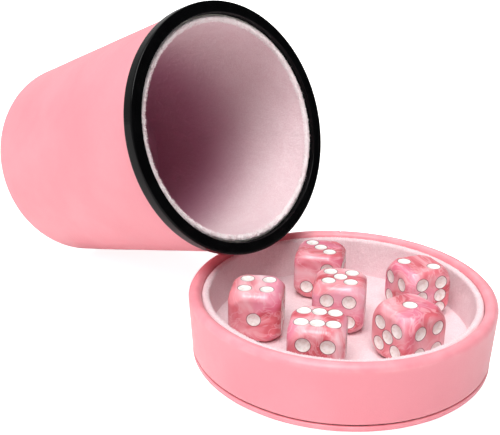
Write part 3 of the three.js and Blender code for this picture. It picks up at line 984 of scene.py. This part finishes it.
def pearl_material():
    """Marbled pearl plastic, with white paint in the pips and a thin line of painted shade round each
    rim.
    """
    g = Graph("marbled_pearl")
    pip = g.attribute("pip").outputs["Fac"]
    # a thin dark ring of painted shade along each pip's rim
    line = g.span(g.math("ABSOLUTE", g.math("ADD", pip, 0.02)), 0.04, 0.17, 1.0, 0.0)
    painted = g.span(pip, -0.1, -0.02, 1.0, 0.0)
    paint = g.mix(g.span(g.noise(1.1, detail=4), 0.35, 0.75), PIP_WHITE, PIP_SHADE)
    colour = g.mix(painted, marbled_colour(g), paint)
    colour = g.tint(colour, PIP_RIM_PAINTED_SHADE, line, 0.8)
    g.set(Base_Color=colour, Roughness=g.span(painted, 0, 1, 0.32, 0.45),
          Normal=g.bump(g.noise(3.0, detail=2), 0.01), Specular_IOR_Level=0.5,
          Coat_Weight=0.3, Coat_Roughness=0.2, Subsurface_Weight=0.12,
          Subsurface_Radius=(1.2, 0.5, 0.5), Subsurface_Scale=MM)
    return g.material


def core_material():
    """Off-white moulded plastic of the hidden shells, with flow marks and a fine texture."""
    g = Graph("moulded_core")
    flow = g.span(g.noise(18, detail=4, rough=0.55, warp=2.0), 0.3, 0.7)
    normal = g.bump(g.noise(0.5, detail=4), 0.02)
    g.set(Base_Color=g.mix(flow, CORE_PALE, CORE_DULL), Roughness=g.span(flow, 0, 1, 0.42, 0.55),
          Normal=normal)
    return g.material


def board_material():
    """Raw grey board: pulp specks, short fibres and a rough face."""
    g = Graph("grey_board")
    pulp = g.span(g.noise(0.9, detail=6, rough=0.7), 0.3, 0.7)
    specks = g.span(g.cells(1.4, "F1"), 0.0, 0.2, 1.0, 0.0)
    colour = g.tint(g.mix(pulp, BOARD_DARK, BOARD_PALE), BOARD_SPECK, specks, 0.5)
    g.set(Base_Color=colour, Roughness=0.92, Normal=g.bump(pulp, 0.06))
    return g.material


FLOOR_GLOW = 0.1
FLOOR_GLOW_SEEN = 0.75  # added for the camera only, so that the floor shows white but lights little


def floor_material():
    """The pale, plain surface that the set stands on."""
    g = Graph("pale_floor")
    tone = g.mix(g.noise(400, detail=2), FLOOR_WARM, FLOOR_COOL)
    seen = g.node("ShaderNodeLightPath").outputs["Is Camera Ray"]
    g.set(Base_Color=tone, Roughness=0.7, Specular_IOR_Level=0.2, Emission_Color=WHITE,
          Emission_Strength=g.math("MULTIPLY_ADD", seen, FLOOR_GLOW_SEEN, FLOOR_GLOW))
    return g.material


# ---- Putting the pieces on their bodies ----

def dress(piece, material):
    """Gives a piece its one material."""
    piece.data.materials.clear()
    piece.data.materials.append(material)


def mount_piece(piece, body, node, material):
    """Gives a piece its material and its body, and hides the CAD node that it stands for, if any."""
    dress(piece, material)
    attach(piece, body)
    if node is not None:
        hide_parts(node)
    return piece


def build_lid(leather, felt, nap):
    """The lid's visible pieces."""
    skin = mount_piece(lid_leather(), "lid", "lid_leather_wrap", leather)
    base = mount_piece(lid_base_cover(), "lid", "lid_base_leather", leather)
    pad = mount_piece(lid_felt_pad(), "lid", "lid_felt_floor", felt)
    lining = mount_piece(lid_felt_lining(), "lid", "lid_felt_wall", felt)
    fringe = mount_piece(lid_fringe(), "lid", None, nap)


def build_cup(leather, felt, nap, black):
    """The cup's visible pieces, made upright and laid down together."""
    lay = cup_matrix()
    skin, base, pad, lining = cup_leather(), cup_base_cover(), cup_felt_pad(), cup_felt_lining()
    ring, fringe = cup_ring(), cup_fringe()
    for piece in (skin, base, pad, lining, ring, fringe):
        piece.matrix_world = lay
    mount_piece(skin, "cup", "cup_leather_wrap", leather)
    mount_piece(base, "cup", "cup_base_leather", leather)
    mount_piece(pad, "cup", "cup_felt_floor", felt)
    mount_piece(lining, "cup", "cup_felt_wall", felt)
    mount_piece(ring, "cup", "cup_rim_ring", black)
    mount_piece(fringe, "cup", None, nap)


def build_dice(pearl):
    """Six dice, each in the place of its CAD node and on its body, with its own bit of marbling."""
    bodies = {node: body for body, nodes in frame["record"]["behaviour"]["bodies"].items()
              for node in nodes}
    points, faces, pips = die_mesh_parts()
    for step, (node, (turn, top, right)) in enumerate(DICE.items()):
        piece = make_object(f"{node}_pearl", points, faces, 60)
        add_attribute(piece, "pip", pips)
        add_attribute(piece, "marble", points + np.array(MARBLE_SHIFT) * (step + 1))
        low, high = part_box(node)
        place = Matrix.Translation((low + high) / 2)
        turn = Matrix.Rotation(math.radians(turn), 4, "Z")
        piece.matrix_world = place @ turn @ face_turn(top, right)
        mount_piece(piece, bodies[node], node, pearl)


def dress_hidden_nodes():
    """The shells, the boards and the card strip stay as packed, with materials of their own."""
    core, board = core_material(), board_material()
    for name, material in (("lid_shell", core), ("cup_shell", core), ("lid_base_board", board),
                           ("cup_base_board", board), ("lid_liner_strip", board)):
        for place in frame["nodes"][name].material_slots:
            place.material = material


# ---- Stage ----

CAMERA_PLACE = (126.27, -169.95, 122.33)
CAMERA_HEADING = 44.14  # degrees from +Y towards -X
CAMERA_DOWN = 20.83
CAMERA_LENS = 54.77
CAMERA_SENSOR = 36.0
CAMERA_CLIP = (0.01, 50.0)  # metres

FLOOR_RADIUS = 12.0  # metres
FLOOR_DROP = 0.0001  # keeps it clear of the undersides that stand on it
FLOOR_SIDES = 96

SET_MIDDLE = (-30, 0, 30)

WORLD_BRIGHT = 0.5
WORLD_DIM = 0.02
WORLD_DIM_WAY = (-46, 10)  # heading and elevation, to the camera's right
WORLD_FADE = (-0.3, 0.75)  # from where the surround starts to dim to where it is dimmest


def heading(azimuth, elevation):
    """A unit vector, with its azimuth measured from +Y towards -X."""
    a, e = math.radians(azimuth), math.radians(elevation)
    return Vector((-math.sin(a) * math.cos(e), math.cos(a) * math.cos(e), math.sin(e)))


def place_object(name, data):
    """A new object in the scene for a camera or a lamp."""
    item = bpy.data.objects.new(name, data)
    bpy.context.scene.collection.objects.link(item)
    return item


def make_camera():
    """The camera that frames the set from its front right, looking a little down."""
    data = bpy.data.cameras.new("camera")
    data.lens = CAMERA_LENS
    data.sensor_width = CAMERA_SENSOR
    data.clip_start, data.clip_end = CAMERA_CLIP
    camera = place_object("camera", data)
    camera.location = Vector(CAMERA_PLACE) * MM
    camera.rotation_euler = heading(CAMERA_HEADING, -CAMERA_DOWN).to_track_quat("-Z", "Y").to_euler()
    bpy.context.scene.camera = camera


def make_floor():
    """A round plain floor, wide enough to fill any view of it."""
    angles = np.arange(FLOOR_SIDES) * 2 * math.pi / FLOOR_SIDES
    points = round_axis(FLOOR_RADIUS, np.full(FLOOR_SIDES, -FLOOR_DROP), angles)
    floor = make_object("floor", points / MM, [list(range(FLOOR_SIDES))])
    dress(floor, floor_material())


def add_sun(name, azimuth, elevation, strength, spread):
    """A distant soft light, from a heading above the horizon."""
    data = bpy.data.lights.new(name, "SUN")
    data.energy = strength
    data.angle = math.radians(spread)
    lamp = place_object(name, data)
    lamp.rotation_euler = heading(azimuth, elevation).to_track_quat("Z", "Y").to_euler()


def add_softbox(name, azimuth, elevation, distance, size, strength):
    """A square lamp that faces the middle of the set."""
    data = bpy.data.lights.new(name, "AREA")
    data.shape = "SQUARE"
    data.size = size
    data.energy = strength
    lamp = place_object(name, data)
    way = heading(azimuth, elevation)
    lamp.location = Vector(SET_MIDDLE) * MM + way * distance
    lamp.rotation_euler = way.to_track_quat("Z", "Y").to_euler()


def world_level(tree):
    """The surround's strength by direction."""
    place = tree.nodes.new("ShaderNodeTexCoord")
    side = tree.nodes.new("ShaderNodeVectorMath")
    side.operation = "DOT_PRODUCT"
    side.inputs[1].default_value = heading(*WORLD_DIM_WAY)
    tree.links.new(place.outputs["Generated"], side.inputs[0])
    level = tree.nodes.new("ShaderNodeMapRange")
    level.interpolation_type = "SMOOTHSTEP"
    for socket, value in zip(level.inputs[1:5], (*WORLD_FADE, WORLD_BRIGHT, WORLD_DIM)):
        socket.default_value = value
    tree.links.new(side.outputs["Value"], level.inputs[0])
    return level.outputs["Result"]


def make_world():
    """A soft surround, dimmer on the side that the cup's dark inner wall faces, and seen as white."""
    world = bpy.data.worlds.new("surround")
    bpy.context.scene.world = world
    world.use_nodes = True
    tree = world.node_tree
    tree.nodes.clear()
    light, seen = (tree.nodes.new("ShaderNodeBackground") for _ in range(2))
    for node in (light, seen):
        node.inputs["Color"].default_value = (1, 1, 1, 1)
    tree.links.new(world_level(tree), light.inputs["Strength"])
    seen.inputs["Strength"].default_value = 1.0
    mix = tree.nodes.new("ShaderNodeMixShader")
    path = tree.nodes.new("ShaderNodeLightPath")
    output = tree.nodes.new("ShaderNodeOutputWorld")
    tree.links.new(path.outputs["Is Camera Ray"], mix.inputs[0])
    tree.links.new(light.outputs[0], mix.inputs[1])
    tree.links.new(seen.outputs[0], mix.inputs[2])
    tree.links.new(mix.outputs[0], output.inputs["Surface"])


def make_lights():
    """A soft key from high over the camera, a weaker fill from behind and a small lamp overhead."""
    add_sun("key", azimuth=-152, elevation=61, strength=2.05, spread=38)
    add_sun("back_fill", azimuth=60, elevation=55, strength=0.85, spread=40)
    add_softbox("softbox_top", azimuth=-140, elevation=68, distance=0.4, size=0.25, strength=0.5)


def set_colours():
    """Plain display colours, so that a surface's colour is what its material says."""
    settings = bpy.context.scene.view_settings
    settings.view_transform = "Standard"
    settings.look = "None"
    settings.exposure = 0.0


# heights in the cup between which the painted shade on its felt fades out
CUP_PAINTED_SHADE_HEIGHTS = (30, 72)
CUP_FRAYED = (89.2, 90.1)

make_camera()
leather, nap = leather_material(), nap_material()
build_lid(leather, felt_material("pink_felt"), nap)
build_cup(leather, felt_material("cup_felt", CUP_PAINTED_SHADE_HEIGHTS, CUP_FRAYED), nap, ring_material())
build_dice(pearl_material())
dress_hidden_nodes()
make_floor()
make_world()
make_lights()
set_colours()
